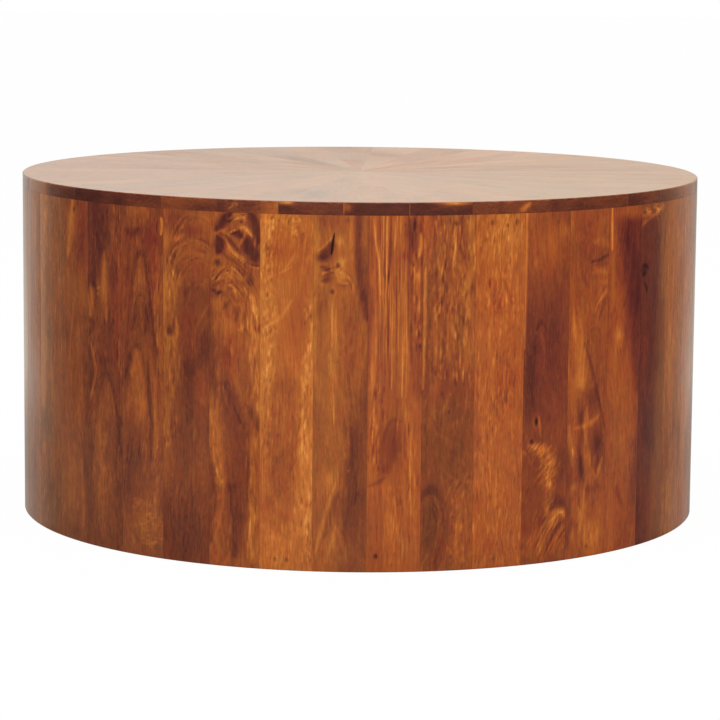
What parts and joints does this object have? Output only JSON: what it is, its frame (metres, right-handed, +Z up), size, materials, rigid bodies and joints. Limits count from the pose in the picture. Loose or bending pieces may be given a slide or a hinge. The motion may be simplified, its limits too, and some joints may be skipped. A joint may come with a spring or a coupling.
{
  "type": "round coffee table",
  "caption": "Low round drum coffee table with a closed wall of upright wooden staves and a flush sunburst top of wedge boards, in chestnut lacquer.",
  "frame": {"origin": "on the floor, under the middle of the top", "axes": "+Z up, -Y towards the viewer of the picture, +X to that viewer's right"},
  "size_m": [0.8, 0.8, 0.4],
  "materials": {
    "stave_wood": "figured hardwood, chestnut stain under semi-gloss clear lacquer",
    "top_wood": "figured hardwood, chestnut stain under semi-gloss clear lacquer",
    "plywood": "bare plywood",
    "frame_wood": "bare sawn hardwood",
    "brad_steel": "galvanised wire"
  },
  "bodies": {
    "root": {"stave_01": "stave_wood", "stave_02": "stave_wood", "stave_03": "stave_wood", "stave_04": "stave_wood", "stave_05": "stave_wood", "stave_06": "stave_wood", "stave_07": "stave_wood", "stave_08": "stave_wood", "stave_09": "stave_wood", "stave_10": "stave_wood", "stave_11": "stave_wood", "stave_12": "stave_wood", "stave_13": "stave_wood", "stave_14": "stave_wood", "stave_15": "stave_wood", "stave_16": "stave_wood", "stave_17": "stave_wood", "stave_18": "stave_wood", "stave_19": "stave_wood", "stave_20": "stave_wood", "stave_21": "stave_wood", "stave_22": "stave_wood", "stave_23": "stave_wood", "stave_24": "stave_wood", "stave_25": "stave_wood", "stave_26": "stave_wood", "stave_27": "stave_wood", "stave_28": "stave_wood", "stave_29": "stave_wood", "stave_30": "stave_wood", "stave_31": "stave_wood", "stave_32": "stave_wood", "stave_33": "stave_wood", "stave_34": "stave_wood", "stave_35": "stave_wood", "stave_36": "stave_wood", "stave_37": "stave_wood", "stave_38": "stave_wood", "stave_39": "stave_wood", "stave_40": "stave_wood", "stave_41": "stave_wood", "stave_42": "stave_wood", "stave_43": "stave_wood", "top_sector_1": "top_wood", "top_sector_2": "top_wood", "top_sector_3": "top_wood", "top_sector_4": "top_wood", "top_sector_5": "top_wood", "top_sector_6": "top_wood", "subtop_disc": "plywood", "foot_ring_felloes": "frame_wood", "post_1": "frame_wood", "post_2": "frame_wood", "post_3": "frame_wood", "post_4": "frame_wood", "upper_brads": "brad_steel", "lower_brads": "brad_steel", "top_brads": "brad_steel", "post_brads": "brad_steel"}
  },
  "joints": []
}
